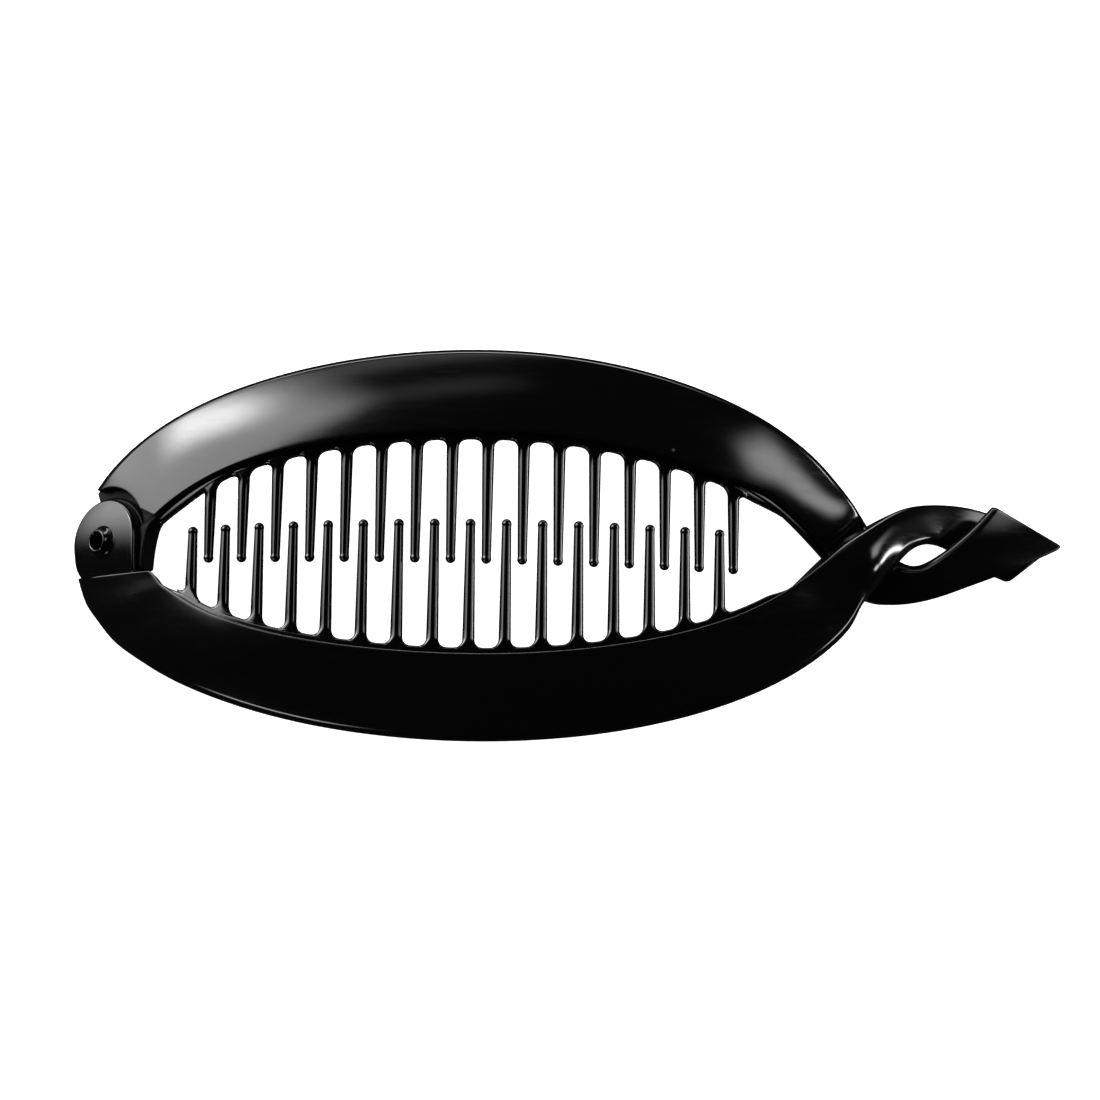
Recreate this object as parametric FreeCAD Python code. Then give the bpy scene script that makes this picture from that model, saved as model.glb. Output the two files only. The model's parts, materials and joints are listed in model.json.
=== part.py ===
import FreeCAD, Part
import math
import os

os.makedirs("parts", exist_ok=True)
V = FreeCAD.Vector

# ---------------------------------------------------------------------------
# Interlocking banana hair clip: two arched comb arms on one hinge pin, held
# shut by two tails that are twisted round each other.
# Millimetres. +X runs from the hinge to the tails, +Y to the upper arm,
# +Z to the convex outer face. Driving dimensions first.
# ---------------------------------------------------------------------------

# side profile of the convex outer face
crown_x = 5.3            # where the arch is highest
radius_hinge_side = 180.0
radius_tail_side = 143.0
end_bend = 1.9e-4       # extra bend near the hinge, per mm cubed
end_bend_from = 40.0     # distance from the crown where it starts
tail_straight_from = 55.0
tail_slope_share = 0.72  # how much of the last slope the tails keep

# outline of the closed clip
half_height = 30.9       # outer edge at the middle
half_length_hinge = 66.5
half_length_tail = 64.0
upper_tail_trim = 1.6    # the upper arm turns in a little sooner
root_half_height = 16.4  # roots of the teeth at the middle
root_radius_hinge = 170.0
root_radius_tail = 135.0
root_close_hinge = 2.4e-10
root_close_tail = 1.85e-10
lower_root_extra = 0.55   # the lower rail lies a little further out
inner_share = 0.83       # how far the inner edge follows the outer one

# band section
band_thick_inner = 3.7
band_thick_outer = 2.2
band_lean = 0.25         # fall of the outer face per mm outwards
band_crown = 0.45
upper_end = 58.6         # where the tails start
lower_end = 59.4
band_edge_bulge = 0.55
rail_reach = 1.0         # comb rail beyond the inner wall of the band

# combs
tooth_count = 16
tooth_pitch = 5.69
upper_pitch = 5.65
lower_row_shift = -9.2   # middle of the lower row from the crown
upper_row_shift = -6.6
tooth_root_r = 1.0
tooth_neck_r = 0.74
tooth_ball_r = 0.81
tooth_overlap = 3.6      # tips reach this far past the middle line
upper_growth = 0.011      # upper teeth get longer towards the tails
lower_end_short = 0.7    # lower end teeth are this much shorter
tooth_depth = 2.4        # tooth axis below the outer face
rail_thick = 2.2
rail_from = -51.0        # ends of both rails
rail_to = 50.6
gap_corner_r = 1.25

# hinge
pin_x = -61.45
pin_y = 1.15
disc_r = 7.1
cheek_thick = 2.2
tongue_thick = 2.2
layer_gap = 0.08
band_cut_r = 9.1
clear_r = 7.8
step_y = -4.3            # where the flat cheek meets the band
neck_reach = 9.6        # tongue edge to the right of the pin
pin_r = 1.85
pin_bore_r = 1.4
pin_clearance = 0.06
head_r = 2.7
head_h = 1.35
foot_r = 3.0
foot_h = 0.7

# clasp tails: plan stations (left and right edge of the ribbon) and how far
# each edge stands above the arch
tail_thick = 2.3
blade_thick = 1.7
base_drop = 24.6         # floor below the crown


def face_z(x):
    """Height of the arch over x, zero at the crown."""
    d = x - crown_x
    if d < 0:
        extra = max(-d - end_bend_from, 0.0)
        return -(d * d / (2 * radius_hinge_side) + end_bend * extra ** 3)
    if d < tail_straight_from:
        return -d * d / (2 * radius_tail_side)
    run = tail_straight_from
    slope = run / radius_tail_side * tail_slope_share
    return -run * run / (2 * radius_tail_side) - (d - run) * slope


def face_slope(x):
    return (face_z(x + 0.01) - face_z(x - 0.01)) / 0.02


def root_half(x, side):
    """Distance of the tooth roots from the middle line."""
    if side < 0:
        return root_half(x, 1) + lower_root_extra
    if x < 0:
        return (root_half_height - x * x / (2 * root_radius_hinge)
                - root_close_hinge * x ** 6)
    return (root_half_height - x * x / (2 * root_radius_tail)
            - root_close_tail * x ** 6)


def outer_half(x, side):
    a = half_length_hinge if x < 0 else half_length_tail
    if side > 0 and x > 0:
        a -= upper_tail_trim
    return half_height * math.sqrt(max(1 - (x / a) ** 2, 0.0))


def lean_at(x):
    """The face leans less towards both ends."""
    return band_lean * (0.35 + 0.65 * max(1 - (x / 66.0) ** 2, 0.0))


def section(i_front, o_front, t_in, t_out, crown, bulge):
    """Closed wire: crowned front, rounded outer edge, flat back, inner wall."""
    i_back = i_front - V(0, 0, t_in)
    o_back = o_front - V(0, 0, t_out)
    mid = (i_front + o_front) * 0.5 + V(0, 0, crown)
    out = (o_front - i_front)
    out.z = 0
    out.normalize()
    edge = (o_front + o_back) * 0.5 + out * bulge
    front = Part.Arc(i_front, mid, o_front).toShape()
    rim = Part.Arc(o_front, edge, o_back).toShape()
    back = Part.makeLine(o_back, i_back)
    wall = Part.makeLine(i_back, i_front)
    return Part.Wire([front, rim, back, wall])


def ribbon_section(i_front, o_front, t_in, t_out, up, crown, bulge):
    """The same section, square to a twisted ribbon."""
    across = (o_front - i_front).normalize()
    i_back = i_front - up * t_in
    o_back = o_front - up * t_out
    mid = (i_front + o_front) * 0.5 + up * crown
    edge = (o_front + o_back) * 0.5 + across * bulge
    return Part.Wire([Part.Arc(i_front, mid, o_front).toShape(),
                      Part.Arc(o_front, edge, o_back).toShape(),
                      Part.makeLine(o_back, i_back),
                      Part.makeLine(i_back, i_front)])


def loft(wires):
    solid = Part.makeLoft(wires, True, False)
    if solid.Volume < 0:
        solid.reverse()
    return solid


def band_points(x_outer, side):
    """Inner and outer front corners of a band station."""
    x_inner = inner_share * x_outer
    yo = outer_half(x_outer, side)
    yi = root_half(x_inner, side) + rail_reach
    width = math.hypot(x_outer - x_inner, yo - yi)
    zi = face_z(x_inner)
    zo = face_z(x_outer) - lean_at(x_outer) * width
    return V(x_inner, side * yi, zi), V(x_outer, side * yo, zo)


def band(side, stations):
    wires = []
    for x in stations:
        i_front, o_front = band_points(x, side)
        wires.append(section(i_front, o_front, band_thick_inner,
                             band_thick_outer, band_crown, band_edge_bulge))
    return loft(wires)


# hinge frame: x' along the arch, y' = Y, z' out of the face
hinge_angle = math.atan(face_slope(pin_x))
hinge_z = face_z(pin_x)
axis = V(-math.sin(hinge_angle), 0, math.cos(hinge_angle))
place = FreeCAD.Placement(
    V(pin_x, pin_y, hinge_z),
    FreeCAD.Rotation(V(0, 1, 0), -math.degrees(hinge_angle)))


def put(shape):
    """Move a shape from the hinge frame to the object frame."""
    s = shape.copy()
    s.Placement = place
    return s


def cyl(r, z0, z1):
    return Part.makeCylinder(r, z1 - z0, V(0, 0, z0))


def plate(points, z0, z1):
    ring = [V(a, b, z0) for a, b in points]
    ring.append(ring[0])
    face = Part.Face(Part.makePolygon(ring))
    return face.extrude(V(0, 0, z1 - z0))


# --------------------------------------------------------------------- bands
upper_stations = [-62.8, -61.2, -59.0, -55.5, -50.0, -42.0, -32.0, -20.0, -8.0,
                  4.0, 16.0, 28.0, 38.0, 46.0, 52.0, 56.0, upper_end]
upper_band = band(1, upper_stations)
lower_band = band(-1, [-60.0, -55.5, -50.0, -42.0, -32.0, -20.0, -8.0,
                       4.0, 16.0, 28.0, 38.0, 46.0, 52.0, 56.0, lower_end])

# the lower band is carried on round the corner to the step under the cheek
corner = []
for (xi, yi), (xo, yo) in [((-52.6, -4.3), (-65.7, -4.3)),
                           ((-51.6, -5.2), (-64.1, -8.2)),
                           ((-50.6, -6.4), (-61.9, -11.1))]:
    i_front = V(xi, yi, face_z(xi))
    o_front = V(xo, yo, face_z(xo) - 0.4 - 0.09 * (abs(yo) - 4.3))
    corner.append((i_front, o_front))
corner.append(band_points(-60.0, -1))
corner_wires = [section(a, b, band_thick_inner + 0.8 - 0.27 * n,
                        band_thick_outer + 1.6 - 0.53 * n, band_crown,
                        band_edge_bulge)
                for n, (a, b) in enumerate(corner)]
lower_corner = loft(corner_wires)

# --------------------------------------------------------------------- hinge
t1 = -cheek_thick
t2 = t1 - layer_gap
t3 = t2 - tongue_thick
step_d = step_y - pin_y
cheek = cyl(disc_r, t1, 0).fuse(
    Part.makeBox(2 * disc_r, -step_d, cheek_thick, V(-disc_r, step_d, t1)))
cheek = cheek.removeSplitter()
cheek = cheek.cut(plate([(-disc_r - 0.1, -1.8), (-disc_r - 0.1, step_d - 0.1),
                         (-disc_r + 1.5, step_d - 0.1)], t1 - 1, 1))
cheek = cheek.cut(cyl(pin_r, t1 - 1, 1))

tongue = cyl(disc_r, t3, t2)
neck = plate([(-2.8, 0.0), (-2.8, 10.6), (0.0, 11.6), (4.0, 12.3), (10.5, 9.6),
              (15.3, 7.9), (13.0, 5.8), (11.2, 3.6), (neck_reach - 0.6, 1.6),
              (neck_reach - 1.2, -0.8), (neck_reach - 1.5, -3.0),
              (neck_reach - 1.9, step_d + 0.25), (4.0, step_d + 0.25)], t3, t2)
tongue = tongue.fuse(neck).removeSplitter()
tongue = tongue.cut(cyl(pin_r + pin_clearance, t3 - 1, t2 + 1))
# raised collar round the cheek, a step lower than the band
ledge = plate([(0.0, 0.0), (-1.6, 10.6), (4.0, 11.5), (10.5, 9.0),
               (13.2, 7.1), (10.4, 4.0), (neck_reach - 1.2, 1.4),
               (neck_reach - 1.8, -1.0), (neck_reach - 2.0, step_d + 0.25),
               (5.0, step_d + 0.25)], t2, t2 + 0.9)
ledge = ledge.cut(cyl(disc_r + 0.25, t2 - 1, t2 + 2))
# below the pin the cheek has straight sides
ledge = ledge.cut(Part.makeBox(disc_r + 0.25, 12, 4, V(0, -12, t2 - 1)))
tongue = tongue.fuse(ledge).removeSplitter()

pin = cyl(pin_r, t3 - foot_h, 0).fuse(cyl(foot_r, t3 - foot_h - 0.08, t3 - 0.08))
pin = pin.fuse(Part.makeCone(head_r, pin_r + 0.05, head_h, V(0, 0, 0)))
pin = pin.removeSplitter()
pin = pin.cut(cyl(pin_bore_r, t3 - 3, 3))

cheek = put(cheek)
tongue = put(tongue)
pin = put(pin)

# ------------------------------------------------- fit the bands to the hinge
upper_band = upper_band.cut(put(cyl(band_cut_r, -8, 3)))
lower_corner = lower_corner.cut(put(cyl(clear_r, -9, t1 - 0.02)))
lower_corner = lower_corner.cut(cheek)
lower_corner = lower_corner.cut(put(cyl(pin_r, -9, 3)))
lower_band = lower_band.fuse(lower_corner).removeSplitter()
tongue = tongue.cut(upper_band)


def arc_to_x(u):
    """x at a distance u along the arch from the crown."""
    step = 0.05 if u > 0 else -0.05
    x, run = crown_x, 0.0
    while abs(run) < abs(u):
        run += step * math.hypot(1, face_slope(x))
        x += step
    return x


def tooth(x, side):
    """Round tapered tooth with a ball tip, root inside the rail."""
    y0 = root_half(x, side) + 0.6
    past = tooth_overlap
    if side < 0:
        past -= lower_end_short * (x / 45.0) ** 2
    else:
        past += upper_growth * x
    length = y0 + past - tooth_ball_r
    p = V(x, side * y0, face_z(x) - tooth_depth)
    run = V(0, -side, 0)
    cone = Part.makeCone(tooth_root_r, tooth_neck_r, length, p, run)
    ball = Part.makeSphere(tooth_ball_r, p + run * length)
    return cone.fuse(ball)


def comb(side, row_shift, pitch, beside):
    xs = [arc_to_x(row_shift + (i - (tooth_count - 1) / 2) * pitch)
          for i in range(tooth_count)]
    top = rail_thick / 2 - tooth_depth
    r = gap_corner_r
    wires = []
    for n in range(21):
        x = rail_from + (rail_to - rail_from) * n / 20
        y0 = side * (root_half(x, side) + rail_reach + 0.8)
        y1 = side * (root_half(x, side) - r - 0.1)
        z = face_z(x) + top
        ring = [V(x, y0, z), V(x, y1, z), V(x, y1, z - rail_thick),
                V(x, y0, z - rail_thick), V(x, y0, z)]
        wires.append(Part.makePolygon(ring))
    rail = loft(wires)
    slots = []
    edges = [rail_from - 2] + xs + [rail_to + 2]
    for n, (a, b) in enumerate(zip(edges[:-1], edges[1:])):
        x0 = a + tooth_root_r
        x1 = b - tooth_root_r
        inner = min(root_half(x0, side), root_half(x1, side)) - 6
        first, last = n == 0, n == len(edges) - 2
        start = x0 + (0 if first else r)
        stop = x1 - (0 if last else r)
        along = [start + (stop - start) * m / 6 for m in range(7)]
        root = [V(x, side * root_half(x, side), 0) for x in along]
        k = 1 - math.sqrt(0.5)
        parts = []
        if first:
            head = V(x0, side * inner, 0)
            parts.append(Part.makeLine(head, root[0]))
        else:
            ya = root_half(start, side)
            head = V(x0, side * inner, 0)
            parts.append(Part.makeLine(head, V(x0, side * (ya - r), 0)))
            parts.append(Part.Arc(V(x0, side * (ya - r), 0),
                                  V(x0 + k * r, side * (ya - k * r), 0),
                                  root[0]).toShape())
        for u, v in zip(root[:-1], root[1:]):
            parts.append(Part.makeLine(u, v))
        foot = V(x1, side * inner, 0)
        if last:
            parts.append(Part.makeLine(root[-1], foot))
        else:
            yb = root_half(stop, side)
            parts.append(Part.Arc(root[-1],
                                  V(x1 - k * r, side * (yb - k * r), 0),
                                  V(x1, side * (yb - r), 0)).toShape())
            parts.append(Part.makeLine(V(x1, side * (yb - r), 0), foot))
        parts.append(Part.makeLine(foot, head))
        slot = Part.Face(Part.Wire(parts)).extrude(V(0, 0, 60))
        slot.translate(V(0, 0, -50))
        slots.append(slot)
    rail = rail.cut(Part.makeCompound(slots))
    whole = rail.fuse([tooth(x, side) for x in xs])
    for other in beside:
        whole = whole.cut(other)
    return whole.removeSplitter()


# --------------------------------------------------------------------- tails
# each row: inner/right edge (x, y, rise), outer/left edge (x, y, rise)
upper_rows = [
    ((54.8, 0.6, -2.6), (61.3, 7.5, -2.6)),
    ((58.6, -3.0, -4.2), (63.9, 4.3, -4.2)),
    ((62.2, -6.2, -4.2), (66.4, 1.4, -3.6)),
    ((67.0, -7.4, -3.2), (69.8, -1.2, -1.4)),
    ((73.0, -6.6, -2.0), (73.6, -0.9, 0.8)),
    ((79.0, -4.5, -0.8), (77.4, 1.7, 2.2)),
    ((86.4, -1.5, 0.2), (81.0, 5.2, 2.6)),
    ((96.3, 3.2, 0.2), (84.2, 8.7, 2.6)),
]
lower_rows = [
    ((55.2, -1.8, 0.2), (61.9, -7.6, -0.2)),
    ((59.0, 1.6, 0.6), (64.6, -4.6, 0.3)),
    ((63.6, 5.0, 0.4), (67.2, -1.6, 0.4)),
    ((69.0, 8.3, -0.8), (70.6, 2.2, 0.2)),
    ((75.0, 9.6, -2.2), (74.2, 3.4, -0.8)),
    ((82.0, 9.3, -3.2), (78.4, 2.0, -2.4)),
    ((88.6, 6.9, -3.0), (83.0, -0.4, -2.8)),
    ((94.2, 3.2, -2.4), (87.4, -2.2, -2.8)),
]


def tail(side, rows):
    """Ribbon whose thickness stands square to its twisted face."""
    i0, o0 = band_points(upper_end if side > 0 else lower_end, side)
    wires = [section(i0, o0, band_thick_inner, band_thick_outer, band_crown,
                     band_edge_bulge)]
    mids = [V((a[0] + b[0]) / 2, (a[1] + b[1]) / 2, 0) for a, b in rows]
    for n, ((xi, yi, ri), (xo, yo, ro)) in enumerate(rows):
        f = min((n + 1) / 3, 1.0)
        g = max(n - 4, 0) / 3
        t_end = tail_thick + (blade_thick - tail_thick) * g
        t_in = band_thick_inner + (t_end - band_thick_inner) * f
        t_out = band_thick_outer + (t_end - band_thick_outer) * f
        i_front = V(xi, yi, face_z(xi) + ri)
        o_front = V(xo, yo, face_z(xo) + ro)
        across = (o_front - i_front).normalize()
        travel = mids[min(n + 1, len(mids) - 1)] - mids[max(n - 1, 0)]
        normal = travel.cross(across)
        if normal.z < 0:
            normal = normal * -1
        normal = normal - across * normal.dot(across)
        normal.normalize()
        up = V(0, 0, 1) - across * across.z
        up.normalize()
        lean = up * (1 - f) + normal * f
        lean.normalize()
        wires.append(ribbon_section(i_front, o_front, t_in, t_out, lean,
                                    band_crown * (1 - f * 0.6),
                                    band_edge_bulge * (1 - f * 0.5)))
    return loft(wires)


upper_tail = tail(1, upper_rows)
lower_tail = tail(-1, lower_rows)

lower_comb = comb(-1, lower_row_shift, tooth_pitch, [lower_band, lower_tail])
upper_comb = comb(1, upper_row_shift, upper_pitch,
                  [upper_band, upper_tail, tongue])

nodes = {
    "upper_band": upper_band,
    "upper_comb": upper_comb,
    "upper_clasp_tail": upper_tail,
    "upper_hinge_tongue": tongue,
    "lower_band": lower_band,
    "lower_hinge_cheek": cheek,
    "lower_comb": lower_comb,
    "lower_clasp_tail": lower_tail,
    "hinge_pin": pin,
}

for name, shape in nodes.items():
    solids = sorted(shape.Solids, key=lambda one: -one.Volume)
    if len(solids) != 1:
        print("slivers dropped", name, [round(s.Volume, 3) for s in solids[1:]])
    nodes[name] = solids[0]

# the closed clip stands on z = 0 with its plan centred on the origin
boxes = [shape.optimalBoundingBox(False, False) for shape in nodes.values()]
low = V(min(b.XMin for b in boxes), min(b.YMin for b in boxes),
        min(b.ZMin for b in boxes))
high = V(max(b.XMax for b in boxes), max(b.YMax for b in boxes),
         max(b.ZMax for b in boxes))
shift = V(-(low.x + high.x) / 2, -(low.y + high.y) / 2, -low.z)
for name, shape in nodes.items():
    solid = shape.copy()
    solid.translate(shift)
    print(name, "valid", solid.isValid(), "volume %.1f" % solid.Volume)
    solid.exportStep("parts/%s.step" % name)

size = high - low
print("size mm", round(size.x, 2), round(size.y, 2), round(size.z, 2))
print("node bottoms mm", {name: round(b.ZMin - low.z, 2)
                          for name, b in zip(nodes, boxes)})
pin_at = V(pin_x, pin_y, hinge_z) + shift
print("pin mm %.5f %.5f %.5f" % (pin_at.x, pin_at.y, pin_at.z),
      "axis %.6f %.6f %.6f" % (axis.x, axis.y, axis.z))
print("shift mm %.5f %.5f %.5f" % (shift.x, shift.y, shift.z))
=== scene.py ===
# %% [markdown]
# # Interlocking banana hair clip in glossy black plastic
# Two arched comb arms turn on one hollow pin. Each arm is a single
# injection moulding: a crowned band, a comb rail with round teeth, and a
# twisted tail that locks round the tail of the other arm.
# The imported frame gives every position. The looks are added on top of it:
# soft edges, a true crown on the faces, and a real moulded gloss.

# %% Load the frame
import json
import math
import bmesh
import bpy
import numpy as np
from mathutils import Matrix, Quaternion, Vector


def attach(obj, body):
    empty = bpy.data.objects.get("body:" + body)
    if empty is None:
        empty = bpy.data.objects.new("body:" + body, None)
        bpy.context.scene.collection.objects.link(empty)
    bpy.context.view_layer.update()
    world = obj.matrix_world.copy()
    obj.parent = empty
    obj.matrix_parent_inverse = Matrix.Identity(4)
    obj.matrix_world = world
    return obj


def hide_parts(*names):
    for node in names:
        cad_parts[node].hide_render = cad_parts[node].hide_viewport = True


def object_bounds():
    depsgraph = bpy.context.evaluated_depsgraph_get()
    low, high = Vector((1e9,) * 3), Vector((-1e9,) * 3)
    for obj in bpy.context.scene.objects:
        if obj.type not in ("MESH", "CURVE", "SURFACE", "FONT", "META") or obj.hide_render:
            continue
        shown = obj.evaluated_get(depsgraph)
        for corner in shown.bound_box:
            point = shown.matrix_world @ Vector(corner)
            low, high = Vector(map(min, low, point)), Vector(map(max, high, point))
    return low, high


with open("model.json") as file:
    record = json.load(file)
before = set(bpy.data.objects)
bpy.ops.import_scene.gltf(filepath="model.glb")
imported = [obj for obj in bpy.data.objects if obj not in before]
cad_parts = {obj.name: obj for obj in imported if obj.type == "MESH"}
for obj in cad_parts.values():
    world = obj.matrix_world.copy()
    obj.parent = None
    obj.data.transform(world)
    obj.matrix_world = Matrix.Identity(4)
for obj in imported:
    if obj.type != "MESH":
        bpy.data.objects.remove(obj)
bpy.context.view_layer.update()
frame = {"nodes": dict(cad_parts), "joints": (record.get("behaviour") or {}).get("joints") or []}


print("nodes", sorted(frame["nodes"]))

# %% [markdown]
# ## The arch and the outline
# Seen from the side the clip is one long arch, a gentle circle that bends
# harder near the hinge and runs straight through the tails. Seen from above
# each band lies between the tooth roots and an ellipse. Everything else is
# built on these few curves, so they come first. All lengths are millimetres
# from the crown of the arch; one shift moves them onto the frame.

# %% The curves that carry the clip
CROWN_X = 5.3
HINGE_ARCH_R = 180.0
HINGE_BEND_FROM = 40.0
HINGE_BEND = 1.9e-4
TAIL_ARCH_R = 143.0
TAIL_RUN = 55.0
TAIL_STRAIGHT = 0.72
BRIDGE_HALF = 9.0
ROOT_MIDDLE = 16.4
PIN_X = -61.45
PIN_Y = 1.15
HALF_HEIGHT = 30.9
INNER_SHARE = 0.83
FACE_LEAN = 0.25


def arch(x):
    """Height of the outer face: minus d squared over twice the radius, with
    a cubic extra bend near the hinge, then a smooth bridge into the straight
    run through the tails."""
    d = np.asarray(x, float) - CROWN_X
    bend = np.maximum(-d - HINGE_BEND_FROM, 0.0)
    hinge_side = -(d * d / (2 * HINGE_ARCH_R) + HINGE_BEND * bend ** 3)
    near = -d * d / (2 * TAIL_ARCH_R)
    run = TAIL_RUN
    top = -run * run / (2 * TAIL_ARCH_R)
    straight = top - (d - run) * run / TAIL_ARCH_R * TAIL_STRAIGHT
    low, high = run - BRIDGE_HALF, run + BRIDGE_HALF
    t = np.clip((d - low) / (high - low), 0.0, 1.0)
    z0, s0 = -low * low / (2 * TAIL_ARCH_R), -low / TAIL_ARCH_R
    z1 = top - BRIDGE_HALF * run / TAIL_ARCH_R * TAIL_STRAIGHT
    s1 = -run / TAIL_ARCH_R * TAIL_STRAIGHT
    bridge = (z0 * (2 * t ** 3 - 3 * t ** 2 + 1) + z1 * (3 * t ** 2 - 2 * t ** 3)
              + 2 * BRIDGE_HALF * (s0 * (t ** 3 - 2 * t ** 2 + t)
                                   + s1 * (t ** 3 - t ** 2)))
    tail_side = np.where(d < low, near, np.where(d < high, bridge, straight))
    return np.where(d < 0, hinge_side, tail_side)


def arch_slope(x):
    """Rise of the arch per millimetre, from a small step either way."""
    return (arch(x + 0.01) - arch(x - 0.01)) / 0.02


def root_line(x, side):
    """Distance of the tooth roots from the middle: a shallow arc that closes
    up quickly at both ends. The lower arm's line lies a little further out."""
    x = np.asarray(x, float)
    radius = np.where(x < 0, 170.0, 135.0)
    close = np.where(x < 0, 2.4e-10, 1.85e-10)
    extra = 0.55 if side < 0 else 0.0
    return ROOT_MIDDLE - x * x / (2 * radius) - close * x ** 6 + extra


def outer_line(x, side):
    """Ellipse of the outer edge, a little shorter towards the tails."""
    x = np.asarray(x, float)
    tail_half = 62.4 if side > 0 else 64.0
    half = np.where(x < 0, 66.5, tail_half)
    return HALF_HEIGHT * np.sqrt(np.maximum(1 - (x / half) ** 2, 0.0))


def lean(x):
    """How much the face falls towards the outer edge, per millimetre."""
    return FACE_LEAN * (0.35 + 0.65 * np.maximum(1 - (x / 66.0) ** 2, 0.0))


joint = frame["joints"][0]
pin_at = np.array(joint["pos_m"]) * 1000.0
shift = pin_at - np.array([PIN_X, PIN_Y, float(arch(PIN_X))])
hinge_angle = math.atan(float(arch_slope(PIN_X)))
along = np.array([math.cos(hinge_angle), 0.0, math.sin(hinge_angle)])
axis = np.array([-math.sin(hinge_angle), 0.0, math.cos(hinge_angle)])
print("hinge pin at", np.round(pin_at, 3), "leaning", round(math.degrees(hinge_angle), 2))


def from_hinge(p):
    """Hinge coordinates (along the arch, across, out of the face) to the clip."""
    centre = np.array([PIN_X, PIN_Y, float(arch(PIN_X))])
    return (centre + p[..., :1] * along + p[..., 2:] * axis
            + p[..., 1:2] * np.array([0.0, 1.0, 0.0]))


def to_hinge(p):
    """Clip coordinates to hinge coordinates."""
    d = p - np.array([PIN_X, PIN_Y, float(arch(PIN_X))])
    return np.stack([d @ along, d[..., 1], d @ axis], axis=-1)

# %% [markdown]
# ## Tools for smooth moulded surfaces
# A moulding has no sharp edge anywhere: the cutter that made the mould and
# the polish on it leave small radii. So every surface here is a grid of
# points with its edges rounded in the formula. A natural cubic spline joins
# the stations of the arms, because it keeps the bend even and so keeps the
# long reflections clean.

# %% Spline, grids and meshes


def spline(knots, values, at):
    """Natural cubic spline: second slopes solve a three-banded system, and
    each span is the cubic that has the two end values and second slopes."""
    n = len(knots)
    h = np.diff(knots)
    inside = np.arange(1, n - 1)
    system = np.eye(n)
    system[inside, inside - 1] = h[:-1]
    system[inside, inside] = 2 * (h[:-1] + h[1:])
    system[inside, inside + 1] = h[1:]
    right = np.zeros_like(values)
    rise = np.diff(values, axis=0) / h[:, None]
    right[1:-1] = 6 * (rise[1:] - rise[:-1])
    second = np.linalg.solve(system, right)
    k = np.clip(np.searchsorted(knots, at) - 1, 0, n - 2)
    w = h[k][:, None]
    a = (knots[k + 1] - at)[:, None]
    b = (at - knots[k])[:, None]
    cubic = (second[k] * a ** 3 + second[k + 1] * b ** 3) / (6 * w)
    left = (values[k] / w - second[k] * w / 6) * a
    return cubic + left + (values[k + 1] / w - second[k + 1] * w / 6) * b


def smooth(x, low, high):
    """0 below low, 1 above high, with level ends between."""
    t = np.clip((x - low) / (high - low), 0.0, 1.0)
    return t * t * (3 - 2 * t)


def soft_cos(angle, power):
    """Cosine of a superellipse: a low power squares its corners off."""
    return np.sign(np.cos(angle)) * np.abs(np.cos(angle)) ** power


def soft_sin(angle, power):
    """Sine of a superellipse, the partner of soft_cos."""
    return np.sign(np.sin(angle)) * np.abs(np.sin(angle)) ** power


def round_end(end, length):
    """Share of the full section at a distance from the end of a bar, which
    closes over a quarter of an ellipse of that length."""
    return np.sqrt(np.clip(1 - (1 - np.clip(end / length, 0, 1)) ** 2, 0.0, 1.0))


def quads(rows, columns, closed):
    """Corner numbers of the faces of a grid; closed joins the last column
    to the first."""
    i, j = np.meshgrid(np.arange(rows - 1),
                       np.arange(columns if closed else columns - 1), indexing="ij")
    k = (j + 1) % columns
    face = np.stack([i * columns + j, i * columns + k,
                     (i + 1) * columns + k, (i + 1) * columns + j], axis=-1)
    return face.reshape(-1, 4)


def make(name, patches, material, body, stands_for):
    """One mesh from several grids of points in millimetres. Points that
    meet are joined, and all faces are turned outwards."""
    points = []
    faces = []
    start = 0
    for grid, closed in patches:
        points.append(grid.reshape(-1, 3))
        faces.append(quads(grid.shape[0], grid.shape[1], closed) + start)
        start += grid.shape[0] * grid.shape[1]
    points = (np.concatenate(points) + shift) * 0.001
    mesh = bpy.data.meshes.new(name)
    mesh.from_pydata(points.tolist(), [], np.concatenate(faces).tolist())
    tidy = bmesh.new()
    tidy.from_mesh(mesh)
    bmesh.ops.remove_doubles(tidy, verts=tidy.verts, dist=2e-6)
    bmesh.ops.dissolve_degenerate(tidy, edges=tidy.edges, dist=1e-6)
    bmesh.ops.recalc_face_normals(tidy, faces=tidy.faces)
    tidy.to_mesh(mesh)
    tidy.free()
    mesh.shade_smooth()
    piece = bpy.data.objects.new(name, mesh)
    bpy.context.scene.collection.objects.link(piece)
    piece.data.materials.append(material)
    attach(piece, body)
    if stands_for:
        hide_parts(*stands_for)
    print(name, len(mesh.vertices), "points", len(mesh.polygons), "faces")
    return piece

# %% [markdown]
# ## The finish: polished black styrene
# The clip is moulded in a hard, mass-coloured black plastic. Its mould was
# polished, so the face mirrors softly: roughness is low but not zero, and
# the skin has a very faint swim left by the cooling plastic. Handling adds
# fine hairline scuffs and a few specks of dust, which only show as tiny
# breaks in the gloss. All patterns are sized in real millimetres.

# %% Materials


def linear(code):
    """Hex colour to linear light, by the sRGB curve."""
    part = np.array([int(code[i:i + 2], 16) for i in (1, 3, 5)]) / 255.0
    light = np.where(part <= 0.04045, part / 12.92, ((part + 0.055) / 1.055) ** 2.4)
    return tuple(float(c) for c in light) + (1.0,)


def add(tree, kind, values=(), **settings):
    """One shader node, with its socket values and its settings."""
    node = tree.nodes.new(kind)
    for key, value in settings.items():
        setattr(node, key, value)
    for key, value in values:
        node.inputs[key].default_value = value
    return node


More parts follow.
